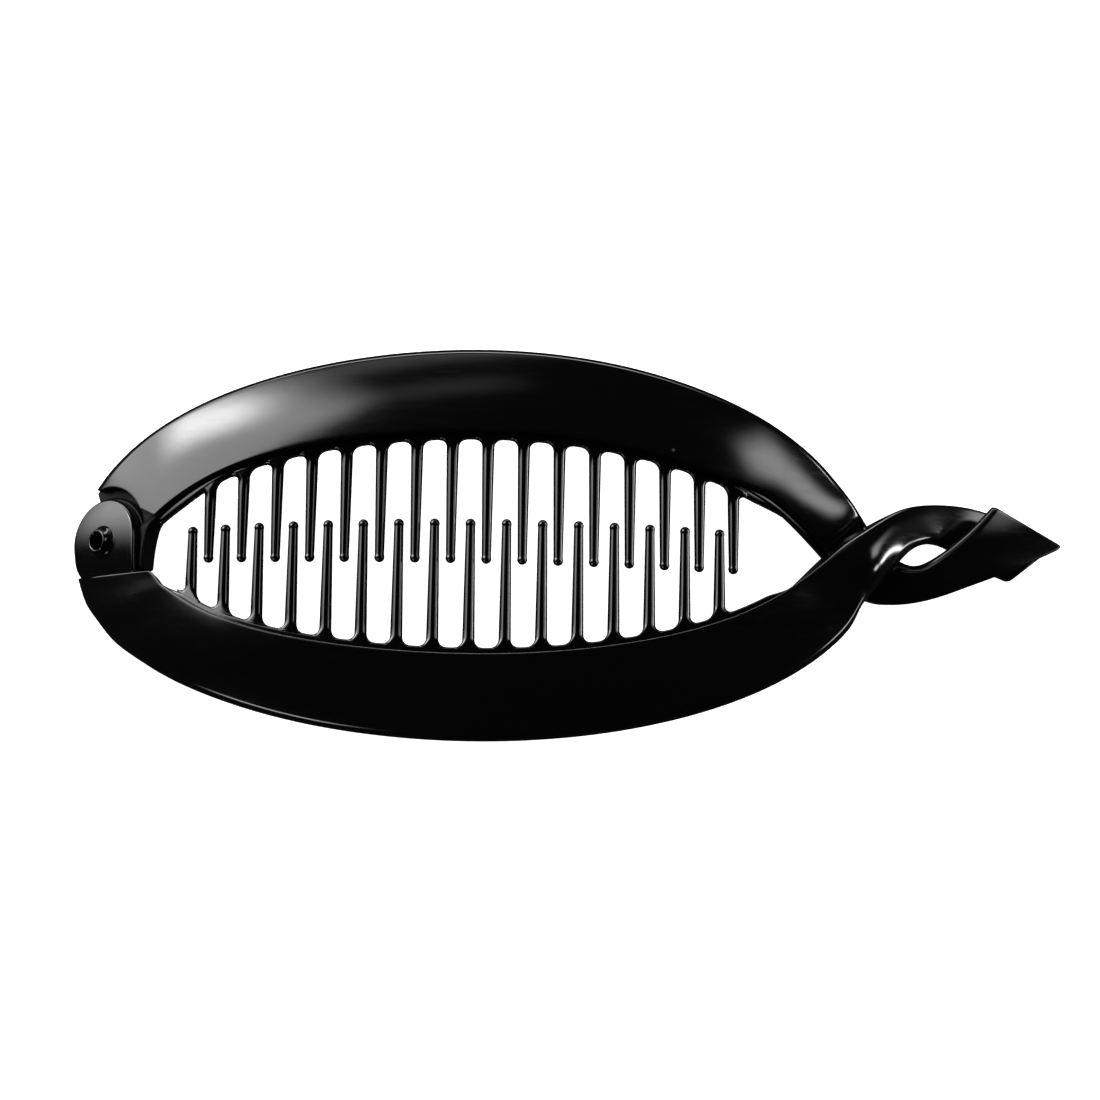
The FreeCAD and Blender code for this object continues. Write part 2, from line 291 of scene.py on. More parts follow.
def black_plastic(name, tint, gloss, swim_mm, swim_height_mm, scuff, dust_mm):
    """Black moulded plastic. tint is its colour, gloss its roughness, swim
    the size and height of the cooling waves, scuff how much the hairlines
    roughen it, dust_mm the spacing of the specks."""
    material = bpy.data.materials.new(name)
    material.use_nodes = True
    tree = material.node_tree
    link = tree.links.new
    shader = tree.nodes["Principled BSDF"]
    shader.inputs["IOR"].default_value = 1.53
    shader.inputs["Specular IOR Level"].default_value = 0.5
    place = add(tree, "ShaderNodeTexCoord")
    # cooling waves: broad and very low, they bend the long reflections
    swim = add(tree, "ShaderNodeTexNoise",
               [("Scale", 1000.0 / swim_mm), ("Detail", 2.0), ("Roughness", 0.45)])
    # hairline scuffs: noise pulled out along the arms
    pull = add(tree, "ShaderNodeMapping")
    pull.inputs["Scale"].default_value = (0.12, 1.0, 0.35)
    pull.inputs["Rotation"].default_value = (0.0, 0.0, 0.18)
    hair = add(tree, "ShaderNodeTexNoise",
               [("Scale", 1000.0 / 0.9), ("Detail", 6.0), ("Roughness", 0.7)])
    hair_share = add(tree, "ShaderNodeMapRange",
                     [("From Min", 0.52), ("From Max", 0.78), ("To Min", gloss),
                      ("To Max", gloss + scuff)])
    # dust: a few cells of a point pattern, only near their centres
    specks = add(tree, "ShaderNodeTexVoronoi",
                 [("Scale", 1000.0 / dust_mm), ("Randomness", 1.0)])
    speck_size = add(tree, "ShaderNodeMapRange",
                     [("From Min", 0.020), ("From Max", 0.045), ("To Min", 1.0),
                      ("To Max", 0.0)])
    rare = add(tree, "ShaderNodeSeparateColor")
    chosen = add(tree, "ShaderNodeMath", [(1, 0.80)], operation="GREATER_THAN")
    speck = add(tree, "ShaderNodeMath", operation="MULTIPLY")
    colour = add(tree, "ShaderNodeMix", data_type="RGBA")
    colour.inputs["A"].default_value = linear(tint)
    colour.inputs["B"].default_value = linear("#3a3b3b")
    rough = add(tree, "ShaderNodeMath", [(1, 0.35)], operation="MULTIPLY_ADD")
    bump = add(tree, "ShaderNodeBump",
               [("Strength", 1.0), ("Distance", swim_height_mm * 0.001)])
    link(place.outputs["Object"], swim.inputs["Vector"])
    link(place.outputs["Object"], pull.inputs["Vector"])
    link(pull.outputs["Vector"], hair.inputs["Vector"])
    link(place.outputs["Object"], specks.inputs["Vector"])
    link(hair.outputs["Fac"], hair_share.inputs["Value"])
    link(specks.outputs["Distance"], speck_size.inputs["Value"])
    link(specks.outputs["Color"], rare.inputs["Color"])
    link(rare.outputs["Red"], chosen.inputs[0])
    link(speck_size.outputs["Result"], speck.inputs[0])
    link(chosen.outputs["Value"], speck.inputs[1])
    link(speck.outputs["Value"], colour.inputs["Factor"])
    link(colour.outputs["Result"], shader.inputs["Base Color"])
    link(speck.outputs["Value"], rough.inputs[0])
    link(hair_share.outputs["Result"], rough.inputs[2])
    link(rough.outputs["Value"], shader.inputs["Roughness"])
    link(swim.outputs["Fac"], bump.inputs["Height"])
    link(bump.outputs["Normal"], shader.inputs["Normal"])
    return material


# polished face of the arms and cheek: the long gradients live here
arm_plastic = black_plastic("black_polished_styrene", "#050505", 0.12, 5.0, 0.012,
                            0.08, 9.0)
# teeth and rails: same plastic, less handled, from a finer part of the mould
comb_plastic = black_plastic("black_comb_styrene", "#040405", 0.09, 3.0, 0.004,
                             0.06, 14.0)
# hinge pin: turned over by a hot tool, so a little duller and wavier
pin_plastic = black_plastic("black_pin_styrene", "#050505", 0.15, 1.2, 0.006,
                            0.12, 14.0)
# walls inside the hinge: painted shade, a darker matt copy of the plastic that reflects little
shaded_hinge_plastic = black_plastic("black_styrene_painted_shade", "#030303", 0.55, 1.5, 0.004,
                              0.10, 14.0)
# weak reflection: part of the painted shade in the deep hinge gap
shaded_hinge_plastic.node_tree.nodes["Principled BSDF"].inputs[
    "Specular IOR Level"].default_value = 0.15
for node in frame["nodes"].values():
    node.data.materials.clear()
    node.data.materials.append(comb_plastic)
print("materials", [m.name for m in (arm_plastic, comb_plastic, pin_plastic,
                                     shaded_hinge_plastic)])

# %% [markdown]
# ## The section of an arm
# Cut across, a band is a thin wedge with a crowned face, thicker at the
# comb side, with a rounded outer rim and soft corners. The same section is
# carried on into the tail, where it turns with the twist. A row of an arm
# holds two front corners, the thickness direction, two thicknesses, the
# crown, the bulge of the rim and the softness of the outer front edge.

# %% Section of an arm
FACE_STEPS = 30
CORNER_STEPS = 7
RIM_STEPS = 9
WALL_STEPS = 9
EDGE_MM = 0.5
BAR_POWER = 0.36
INNER_THICK = 3.7
OUTER_THICK = 2.2
TAIL_THICK = 2.3
TIP_THICK = 1.7


def section_table():
    """For each point round the section: which side it lies on, its place
    there from 0 to 1, and whether it is on a rounded corner."""
    sides = []
    for side, steps in enumerate([FACE_STEPS, RIM_STEPS, FACE_STEPS, WALL_STEPS]):
        sides.append(np.stack([np.full(steps, side), np.linspace(0, 1, steps),
                               np.zeros(steps)]))
        q = np.linspace(0, 1, CORNER_STEPS + 2)[1:-1]
        sides.append(np.stack([np.full(CORNER_STEPS, side), q, np.ones(CORNER_STEPS)]))
    return np.concatenate(sides, axis=1)


TABLE_SIDE, TABLE_PLACE, TABLE_CORNER = section_table()
ROUND = len(TABLE_SIDE)
MIRROR = (2 * (FACE_STEPS + CORNER_STEPS) + RIM_STEPS - 1 - np.arange(ROUND)) % ROUND


def on_side(a, b, push, height, s):
    """A point at share s from corner a to corner b, pushed out by a parabola."""
    return a + (b - a) * s + push * (4 * height * s * (1 - s))


def section_points(row):
    """Points of the section for rows of 14 numbers, one row per point: the
    side's line or parabola, and a quadratic curve round each corner."""
    inner, outer, up = row[..., 0:3], row[..., 3:6], row[..., 6:9]
    up = up / np.linalg.norm(up, axis=-1, keepdims=True)
    across = outer - inner
    across = across / np.linalg.norm(across, axis=-1, keepdims=True)
    thick_in, thick_out = row[..., 9:10], row[..., 10:11]
    crown, bulge, face_edge = row[..., 11:12], row[..., 12:13], row[..., 13:14]
    ring = [inner, outer, outer - up * thick_out, inner - up * thick_in]
    pushes = [(up, crown), (across, bulge), (up, 0.0 * crown), (across, 0.0 * bulge)]
    result = np.zeros(inner.shape)
    for side in range(4):
        a, b, c = ring[side], ring[(side + 1) % 4], ring[(side + 2) % 4]
        push, height = pushes[side]
        push_next, height_next = pushes[(side + 1) % 4]
        from_mm = face_edge if side == 1 else EDGE_MM
        to_mm = face_edge if side == 0 else EDGE_MM
        long_side = np.linalg.norm(b - a, axis=-1, keepdims=True)
        long_next = np.linalg.norm(c - b, axis=-1, keepdims=True)
        start = np.minimum(from_mm / long_side, 0.45)
        edge = np.minimum(to_mm / long_side, 0.45)
        edge_next = np.minimum(to_mm / long_next, 0.45)
        s = start + (1 - start - edge) * TABLE_PLACE[:, None]
        flat = on_side(a, b, push, height, s)
        before = on_side(a, b, push, height, 1 - edge)
        after = on_side(b, c, push_next, height_next, edge_next)
        q = TABLE_PLACE[:, None]
        turn = before * (1 - q) ** 2 + b * (2 * q * (1 - q)) + after * q ** 2
        here = (TABLE_SIDE == side)[:, None]
        corner = (TABLE_CORNER > 0.5)[:, None]
        result = np.where(here & ~corner, flat, result)
        result = np.where(here & corner, turn, result)
    return result


def band_rows(stations, side):
    """Rows of a band: the inner corner on the comb rail, the outer corner on
    the ellipse, lowered by the lean of the face."""
    x = np.asarray(stations, float)
    xi = INNER_SHARE * x
    yi = root_line(xi, side) + 1.0
    yo = outer_line(x, side)
    width = np.hypot(x - xi, yo - yi)
    one = np.ones_like(x)
    return np.stack([xi, side * yi, arch(xi), x, side * yo, arch(x) - lean(x) * width,
                     0 * one, 0 * one, one, INNER_THICK * one, OUTER_THICK * one,
                     0.45 * one, 0.55 * one, EDGE_MM * one], axis=1)


def tail_rows(stations, edge_mm, crown_mm):
    """Rows of a tail. A station is the inner edge (x, y, rise) and the outer
    edge (x, y, rise) above the arch, in millimetres. The thickness direction
    turns from upright to square on the twisted ribbon over the first three
    rows. Each row has its own edge softness and crown."""
    t = np.asarray(stations, float)
    count = len(t)
    n = np.arange(count)
    f = np.minimum((n + 1) / 3.0, 1.0)[:, None]
    g = np.maximum(n - 4, 0)[:, None] / 3.0
    inner = np.stack([t[:, 0], t[:, 1], arch(t[:, 0]) + t[:, 2]], axis=1)
    outer = np.stack([t[:, 3], t[:, 4], arch(t[:, 3]) + t[:, 5]], axis=1)
    across = outer - inner
    across /= np.linalg.norm(across, axis=1, keepdims=True)
    middle = (t[:, 0:2] + t[:, 3:5]) / 2
    travel = middle[np.minimum(n + 1, count - 1)] - middle[np.maximum(n - 1, 0)]
    travel = np.concatenate([travel, np.zeros((count, 1))], axis=1)
    normal = np.cross(travel, across)
    normal *= np.where(normal[:, 2:] < 0, -1.0, 1.0)
    normal /= np.linalg.norm(normal, axis=1, keepdims=True)
    upright = np.array([0.0, 0.0, 1.0]) - across * across[:, 2:]
    upright /= np.linalg.norm(upright, axis=1, keepdims=True)
    up = upright * (1 - f) + normal * f
    up /= np.linalg.norm(up, axis=1, keepdims=True)
    end = TAIL_THICK + (TIP_THICK - TAIL_THICK) * g
    return np.concatenate([inner, outer, up, INNER_THICK + (end - INNER_THICK) * f,
                           OUTER_THICK + (end - OUTER_THICK) * f,
                           np.array(crown_mm)[:, None],
                           0.55 * (1 - 0.5 * f), np.array(edge_mm)[:, None]], axis=1)


def run_of(rows):
    """Distance along the middle of an arm at each row."""
    middle = (rows[:, 0:3] + rows[:, 3:6]) / 2
    return np.concatenate([[0.0], np.cumsum(np.linalg.norm(np.diff(middle, axis=0),
                                                           axis=1))])


def arm_points(rows, u):
    """Surface of an arm at distances u, an array of rings by round."""
    values = spline(run_of(rows), rows, u.reshape(-1))
    return section_points(values.reshape(u.shape + (rows.shape[1],)))


def ended(rows, u, round_mm, corner_mm):
    """The rings of an arm with both ends rounded over and closed: the end
    rings draw in towards their own middle line. At the far end the two
    corners are rounded in plan too, by a quarter circle of corner_mm."""
    lead = round_mm * np.array([0.0, 0.0, 0.07, 0.29, 0.6])
    draw = np.array([1.0, 0.5, 0.17, 0.05, 0.01]) * round_mm
    first = u[:1] + lead[:, None]
    last = u[-1:] - lead[::-1, None]
    rings = np.concatenate([first, u[1:-1], last])
    surface = arm_points(rows, rings)
    centre = (surface.max(axis=1, keepdims=True) + surface.min(axis=1, keepdims=True)) / 2
    far = surface[:, FACE_STEPS - 1:FACE_STEPS] - surface[:, 0:1]
    half = np.linalg.norm(far, axis=-1, keepdims=True) / 2
    along = far / (2 * half)
    left = np.clip(1 - (rings[-1, 0] - rings[:, 0]) / corner_mm, 0.0, 1.0)[:, None, None]
    narrow = corner_mm * (1 - np.sqrt(1 - left ** 2)) * 0.9
    off = np.sum((surface - centre) * along, axis=-1, keepdims=True)
    surface = surface - along * off * np.clip(narrow / half, 0.0, 0.9)
    middle = (surface + surface[:, MIRROR]) / 2
    reach = np.linalg.norm(surface - middle, axis=-1, keepdims=True)
    share = np.zeros((len(rings), 1, 1))
    share[:5, 0, 0] = draw
    share[-5:, 0, 0] = draw[::-1]
    moved = np.clip(share / np.maximum(reach, 0.05), 0.0, 0.98)
    moved[0] = 1.0
    moved[-1] = 1.0
    return surface + (middle - surface) * moved

# %% [markdown]
# ## Upper arm
# The upper arm starts at a hollow cut round the hinge disc. Near the tails
# it dips a little, crosses over to the other side and ends in the broad
# slanting blade at the tip. The hollow is found by walking every line of
# the surface until it leaves the circle, so the cut is exact however the
# face is curved. Past the last tooth the face draws back from the comb side
# and leaves the rail standing out as a bare ledge.

# %% Upper arm
DIP_MM = 1.3
BACK_OFF_MM = 1.35
HOLLOW_R = 9.1
HOLLOW_REACH = 22.0
upper_table = [
    [54.8, 0.6, -2.6, 61.3, 7.5, -2.6],
    [58.6, -3.0, -4.2, 63.9, 4.3, -4.2],
    [62.2, -6.2, -4.2, 66.4, 1.4, -3.6],
    [67.0, -7.4, -3.2, 69.8, -1.2, -1.4],
    [73.0, -6.6, -2.0, 73.6, -0.9, 0.8],
    [79.0, -4.5, -0.8, 77.4, 1.7, 2.2],
    [86.4, -1.5, 0.2, 81.0, 5.2, 2.6],
    [96.3, 3.2, 0.2, 84.2, 8.7, 2.6],
]


def dip(x):
    """How far the upper arm lies below the arch as it nears the tails."""
    return DIP_MM * smooth(x, 46.0, 60.0)


upper_band_rows = band_rows([-62.8, -61.2, -59.0, -55.5, -50.0, -42.0, -32.0, -20.0,
                             -8.0, 4.0, 16.0, 28.0, 38.0, 46.0, 52.0, 55.0, 57.6], 1)
upper_band_rows[:, [2, 5]] -= dip(upper_band_rows[:, 3])[:, None]
upper_rows = np.concatenate([
    upper_band_rows,
    tail_rows(upper_table, [0.5, 0.8, 1.4, 1.8, 1.6, 1.1, 0.7, 0.5],
              [0.4, 0.4, 0.4, 0.45, 0.45, 0.45, 0.45, 0.3])])
# the ledge follows the plain edge, the face the edge that is drawn back
plain_rows = upper_rows.copy()
outward = upper_rows[:, 3:6] - upper_rows[:, 0:3]
outward /= np.linalg.norm(outward, axis=1, keepdims=True)
back_off = (BACK_OFF_MM * smooth(upper_rows[:, 0], 41.0, 45.0)
            * (1 - smooth(upper_rows[:, 0], 53.0, 60.0)))
upper_rows[:, 0:3] += outward * back_off[:, None]


def ledge_grid(rows):
    """A rounded bar along the inner edge of an arm, just below its face."""
    half_wide, half_high, below = 1.3, 1.05, 1.1
    run = run_of(rows)
    first, last = np.interp([40.0, 58.2], rows[:, 0], run)
    u = np.linspace(first, last, 60)
    values = spline(run, rows, u)
    across = values[:, 3:6] - values[:, 0:3]
    across /= np.linalg.norm(across, axis=1, keepdims=True)
    core = values[:, 0:3] + across * 1.25
    core[:, 2] -= below + half_high
    angle = np.linspace(0, 2 * np.pi, 41)[None, :-1, None]
    shrink = round_end(np.minimum(u - u[0], u[-1] - u)[:, None, None], 0.8)
    aside = half_wide * shrink * soft_cos(angle, BAR_POWER)
    above = half_high * shrink * soft_sin(angle, BAR_POWER)
    return core[:, None] + across[:, None] * aside + np.array([0.0, 0.0, 1.0]) * above


def leaves_circle(rows, radius, reach):
    """For each line round the section, the last distance within reach where
    it is still inside a circle round the pin, found by halving."""
    grid = np.linspace(0.0, reach, 161)[:, None] * np.ones((1, ROUND))
    spot = to_hinge(arm_points(rows, grid))
    inside = np.hypot(spot[..., 0], spot[..., 1]) < radius
    last = np.where(inside.any(axis=0),
                    inside.shape[0] - 1 - np.argmax(inside[::-1], axis=0), -1)
    step = reach / 160.0
    low = np.maximum(last, 0) * step
    high = low + step
    for _ in range(18):
        half = (low + high) / 2
        spot = to_hinge(arm_points(rows, half[None, :]))[0]
        within = np.hypot(spot[:, 0], spot[:, 1]) < radius
        low = np.where(within, half, low)
        high = np.where(within, high, half)
    return np.where(last < 0, 0.0, high)


start = leaves_circle(upper_rows, HOLLOW_R, HOLLOW_REACH)
length = run_of(upper_rows)[-1]
share = np.concatenate([np.linspace(0.0, 0.993, 300)[:-1],
                        np.linspace(0.993, 1.0, 16)])[:, None]
upper_u = start[None, :] + (length - start[None, :]) * share
upper_grid = ended(upper_rows, upper_u, 0.35, 1.1)
upper_arm = make("upper_arm", [(upper_grid, True), (ledge_grid(plain_rows), True)],
                 arm_plastic, "upper_arm",
                 ["upper_band", "upper_clasp_tail"])
print("upper arm length mm", round(float(length), 1), "cut from",
      round(float(start.min()), 2), "to", round(float(start.max()), 2))

# %% [markdown]
# ## Lower arm
# The lower arm is carried on round the corner below the hinge, where it
# turns into the flat cheek, and its tail rises over the upper one before it
# dives under the blade. Below the cheek its back is hollowed, so the tongue
# of the other arm can turn there.

# %% Lower arm
CHEEK_BACK = -2.22
lower_table = [
    [55.2, -1.8, 0.3, 61.9, -7.6, -0.6],
    [59.0, 1.6, 0.8, 64.6, -4.6, -0.5],
    [63.6, 5.0, 0.6, 67.2, -1.6, -0.3],
    [69.0, 8.3, -0.7, 70.6, 2.2, 0.0],
    [75.0, 9.6, -2.2, 74.2, 3.4, -0.8],
    [82.0, 9.3, -3.2, 78.4, 2.0, -2.4],
    [88.6, 6.9, -3.0, 83.0, -0.4, -2.8],
    [94.2, 3.2, -2.4, 87.4, -2.2, -2.8],
]


def corner_rows():
    """Rows of the corner below the hinge, thicker towards the cheek."""
    t = np.array([[-52.6, -4.3, -65.7, -4.3], [-51.6, -5.2, -64.1, -8.2],
                  [-50.6, -6.4, -61.9, -11.1]])
    n = np.arange(3.0)
    one = np.ones(3)
    drop = 0.4 + 0.09 * (np.abs(t[:, 3]) - 4.3)
    return np.stack([t[:, 0], t[:, 1], arch(t[:, 0]), t[:, 2], t[:, 3],
                     arch(t[:, 2]) - drop, 0 * one, 0 * one, one, 4.5 - 0.27 * n,
                     3.8 - 0.53 * n, 0.45 * one, 0.55 * one, 0.5 * one], axis=1)


lower_rows = np.concatenate([
    corner_rows(),
    band_rows([-60.0, -55.5, -50.0, -42.0, -32.0, -20.0, -8.0, 4.0, 16.0, 28.0,
               38.0, 46.0, 52.0, 56.0, 59.4], -1),
    tail_rows(lower_table, [0.5, 0.6, 0.8, 1.2, 1.2, 1.0, 0.7, 0.5],
              [0.6, 1.9, 1.5, 0.6, 0.2, 0.2, 0.2, 0.2])])
length = run_of(lower_rows)[-1]
steps = np.concatenate([np.linspace(0.0, 12.0, 50)[:-1],
                        np.linspace(12.0, length - 1.2, 270)[:-1],
                        np.linspace(length - 1.2, length, 16)])
lower_grid = ended(lower_rows, steps[:, None] * np.ones((1, ROUND)), 0.35, 0.9)
spot = to_hinge(lower_grid)
reach = np.hypot(spot[..., 0], spot[..., 1])
hollow = smooth(-reach, -8.05, -7.8) * (spot[..., 2] < CHEEK_BACK)
spot[..., 2] += hollow * (CHEEK_BACK - spot[..., 2])
lower_grid = from_hinge(spot)
lower_arm = make("lower_arm", [(lower_grid, True)], arm_plastic,
                 "lower_arm",
                 ["lower_band", "lower_clasp_tail"])
print("lower arm length mm", round(float(length), 1))

# %% [markdown]
# ## Combs
# Each comb is a rail with sixteen round teeth. A tooth leaves the rail
# through a flare: two quarter-round fillets in the plane of the comb that
# let the plastic flow and keep the tooth from snapping. Then it tapers and
# ends in a small ball that is kind to the scalp.

# %% Combs
TOOTH_COUNT = 16
ROOT_R = 1.0
NECK_R = 0.74
BALL_R = 0.81
FILLET = 1.25
DEPTH = 2.4
RAIL_HALF_WIDE = 1.45
RAIL_HALF_HIGH = 1.1
ROOT_HALF_HIGH = 1.06


def tooth_places(row_shift, pitch):
    """x of each tooth: even steps measured along the arch."""
    x = np.arange(-62.0, 62.0, 0.01)
    run = np.cumsum(np.hypot(1.0, arch_slope(x))) * 0.01
    run -= np.interp(CROWN_X, x, run)
    wanted = row_shift + (np.arange(TOOTH_COUNT) - (TOOTH_COUNT - 1) / 2.0) * pitch
    return np.interp(wanted, run, x)


def tooth_grid(x0, side, past):
    """One tooth. Round the section it is a superellipse whose power goes
    from nearly square in the rail to 2, a circle, in the tooth. Along the
    tooth the half width is the taper plus the quarter-round of the flare,
    and the end follows a sphere."""
    base = float(root_line(x0, side))
    reach = base + past
    flare = np.concatenate([[-0.9, -0.9], np.linspace(-0.5, 0.0, 3),
                            FILLET * (1 - np.cos(np.linspace(0, np.pi / 2, 15)[1:]))])
    shaft = np.linspace(FILLET + 0.4, reach - 2.2 * BALL_R, 14)
    turn = np.linspace(-0.95, np.pi / 2, 18)
    ball = reach - BALL_R + BALL_R * np.sin(turn)
    s = np.concatenate([flare, shaft, ball])[:, None]
    taper = ROOT_R + (NECK_R - ROOT_R) * np.clip(s / (reach - BALL_R), 0, 1)
    into = np.clip(FILLET - s, 0.0, FILLET)
    wide = taper + FILLET - np.sqrt(np.maximum(FILLET ** 2 - into ** 2, 0.0))
    high = taper + (ROOT_HALF_HIGH - ROOT_R) * (1 - smooth(s, 0.0, 2.0))
    knob = np.sqrt(np.maximum(BALL_R ** 2 - (s - (reach - BALL_R)) ** 2, 0.0))
    neck = smooth(s, reach - 2.6 * BALL_R, reach - 1.5 * BALL_R)
    shape = np.where(s > reach - BALL_R, knob, np.maximum(taper * (1 - neck), knob))
    at_ball = s > reach - 2.0 * BALL_R
    wide = np.where(at_ball, np.maximum(shape, np.where(s < reach - BALL_R, taper, 0)),
                    wide)
    high = np.where(at_ball, wide, high)
    closing = np.ones_like(s)
    closing[0] = 0.0
    closing[-1] = 0.0
    wide = wide * closing
    high = high * closing
    angle = np.linspace(0, 2 * np.pi, 37)[None, :-1]
    power = 2.0 / (2.0 + 3.0 * (1 - smooth(s, 0.1, 1.6)))
    dx = wide * soft_cos(angle, power)
    dz = high * soft_sin(angle, power)
    x = x0 + dx
    hold = 1 - smooth(s, 0.2, 3.0)
    start_y = base + (root_line(x, side) - base) * hold
    y = side * (start_y - s)
    z = arch(x0) + (arch(x) - arch(x0)) * hold - DEPTH + dz
    return np.stack([x, y + 0 * x, z], axis=-1)


def rail_grid(x_from, x_to, side):
    """The rail: a rounded bar swept under the inner edge of the band. On the
    lower arm both ends tuck away under the band. On the upper arm the rail
    widens into a ledge towards the hinge, and towards the tail it dips with
    the band and tucks away."""
    x = np.linspace(x_from, x_to, 170)[:, None]
    angle = np.linspace(0, 2 * np.pi, 41)[None, :-1]
    end = np.minimum((x - x_from), (x_to - x))
    shrink = round_end(end, 0.6)
    ledge = 0.45 * (1 - smooth(x, -49.0, -39.0)) * (side > 0)
    dy = (RAIL_HALF_WIDE + ledge) * shrink * soft_cos(angle, BAR_POWER)
    dz = RAIL_HALF_HIGH * shrink * soft_sin(angle, BAR_POWER)
    if side < 0:
        tuck = 1 - smooth(end, 0.0, 5.0)
    else:
        tuck = 1 - smooth(x_to - x, 0.0, 8.0)
    y = side * (root_line(x, side) + 1.0 * tuck + RAIL_HALF_WIDE - ledge + dy)
    z = arch(x) - DEPTH - dip(x / INNER_SHARE) * (side > 0) + dz
    return np.stack([x + 0 * dy, y, z], axis=-1)


def comb(name, side, row_shift, pitch, body, node):
    """Rail and teeth of one arm in one mesh. row_shift moves the middle of
    the row along the arch and pitch is the step from tooth to tooth."""
    places = tooth_places(row_shift, pitch)
    if side < 0:
        past = 3.6 - 0.7 * (places / 45.0) ** 2
    else:
        past = 3.6 + 0.011 * places
    patches = [(tooth_grid(x, side, p), True) for x, p in zip(places, past)]
    rail_from = -52.2 if side > 0 else -51.0
    patches.append((rail_grid(rail_from, 50.6, side), True))
    print(name, "first tooth", round(float(places[0]), 2), "last",
          round(float(places[-1]), 2))
    return make(name, patches, comb_plastic, body, [node])


upper_comb = comb("upper_comb_teeth", 1, -6.6, 5.65, "upper_arm", "upper_comb")
lower_comb = comb("lower_comb_teeth", -1, -9.2, 5.69, "lower_arm", "lower_comb")

# %% [markdown]
# ## Hinge cheek
# The lower arm ends in a round, slightly domed cheek with the pin in its
# middle. Below the pin it runs down into the band, a little wider on the
# left, and only a faint wavy step shows where two inserts of the mould met.

# %% Hinge cheek
DISC_R = 7.1
CHEEK_THICK = 2.2
CHEEK_SOFT = 0.4
PIN_R = 1.85


def cheek_edge(angle):
    """Distance from the pin to the edge: a circle above, a straight side on
    the right, a slowly widening one on the left and a wavy step below."""
    cosine = np.cos(angle)
    sine = np.sin(angle)
    across = DISC_R / np.maximum(np.abs(cosine), 1e-6)
    step = 5.5 + 0.8 * smooth(-cosine, 0.2, 0.6) - 0.15 * np.sin(5 * angle)
    down = step / np.maximum(-sine, 1e-6)
    left = DISC_R + 0.62 * smooth(-sine, 0.15, 0.72)
    side = np.where(cosine < 0, left, across)
    return np.where(sine >= 0, DISC_R, np.minimum(side, down))


def fall(radius, angle):
    """The face is domed across the arm and almost straight along it."""
    return -radius ** 2 * (0.003 * np.cos(angle) ** 2 + 0.0125 * np.sin(angle) ** 2)


def cheek_grid():
    """Bore wall, underside, rounded edge and domed face as one closed
    grid: rings of constant share of the edge distance."""
    angle = np.linspace(0, 2 * np.pi, 181)[None, :-1]
    edge = cheek_edge(angle)
    turn = np.linspace(0, np.pi / 2, 8)
    soft = CHEEK_SOFT
    bore = np.array([PIN_R, PIN_R])[:, None] + 0 * angle
    bore_z = np.array([-0.5, -CHEEK_THICK])[:, None] + 0 * angle
    under = edge - 0.2
    under_z = -CHEEK_THICK + 0 * angle
    side = edge + 0 * angle
    side_z = -2.0 + 0 * angle
    top_edge = edge - soft * (1 - np.cos(turn))[:, None]
    top_r = edge - soft
    top_edge_z = (fall(top_r, angle) - soft + soft * np.sin(turn)[:, None])
    share = np.linspace(1.0, 0.0, 26)[1:, None]
    inner = PIN_R + (edge - soft - PIN_R) * share
    inner_z = fall(inner, angle)
    radius = np.concatenate([bore, under, side, top_edge, inner, bore[:1]])
    height = np.concatenate([bore_z, under_z, side_z, top_edge_z, inner_z, bore_z[:1]])
    p = np.stack([radius * np.cos(angle), radius * np.sin(angle), height], axis=-1)
    return from_hinge(p)


cheek = make("hinge_cheek", [(cheek_grid(), True)], arm_plastic,
             "lower_arm", ["lower_hinge_cheek"])

# %% [markdown]
# ## Hinge tongue
# The tongue of the upper arm lies under the cheek. Round the cheek it
# rises into a collar, so the disc sits in a recess, and on the right the
# collar runs down as the neck that joins it to the comb rail. The collar
# ends just short of the top left, where the band covers it.

# %% Hinge tongue
COLLAR_FROM = -0.598
COLLAR_TO = 2.05
COLLAR_WALL_R = 7.35
TONGUE_BACK = -4.48
TONGUE_FRONT = -2.28
TONGUE_R = 7.45
TONGUE_BORE_R = 1.91


def collar_edge(angle):
    """Outer edge of the collar in hinge coordinates: under the band at the
    top, round the end of the gap on the right."""
    spots = np.array([[7.6, -5.2], [7.9, -3.2], [8.25, -1.2], [8.9, 1.2], [10.9, 3.7],
                      [13.4, 6.3], [12.6, 8.2], [10.5, 9.3], [4.0, 11.8], [0.0, 11.1],
                      [-1.9, 10.4], [-4.5, 8.5]])
    at = np.arctan2(spots[:, 1], spots[:, 0])
    far = np.hypot(spots[:, 0], spots[:, 1])
    return spline(at, far[:, None], angle)[:, 0]


def collar_grid():
    """A rounded bar bent round the cheek: the inner wall keeps 0.25 mm from
    the disc, the outer one follows the collar's edge."""
    angle = np.linspace(COLLAR_FROM, COLLAR_TO, 160)
    ring = np.linspace(0, 2 * np.pi, 49)[None, :-1]
    inner = np.where(angle < 0, COLLAR_WALL_R / np.cos(np.minimum(angle, 0.0)),
                     COLLAR_WALL_R)[:, None]
    outer = np.maximum(collar_edge(angle)[:, None], inner + 0.4)
    half = (outer - inner) / 2
    far = inner + half
    top = (-1.38 - 1.15 * smooth(far, 8.3, 11.0)
           - 0.9 * smooth(angle[:, None], 0.4, 0.9))
    bottom = TONGUE_BACK
    shrink = round_end(np.minimum(angle - COLLAR_FROM, COLLAR_TO - angle)[:, None], 0.06)
    soft = np.clip(0.35 / half, 0.1, 0.9)
    across = half * shrink * soft_cos(ring, soft)
    rise = (top - bottom) / 2 * shrink * soft_sin(ring, 0.3)
    radius = inner + half + across
    a = angle[:, None]
    z = (top + bottom) / 2 + rise
    p = np.stack([radius * np.cos(a), radius * np.sin(a), z], axis=-1)
    return from_hinge(p)


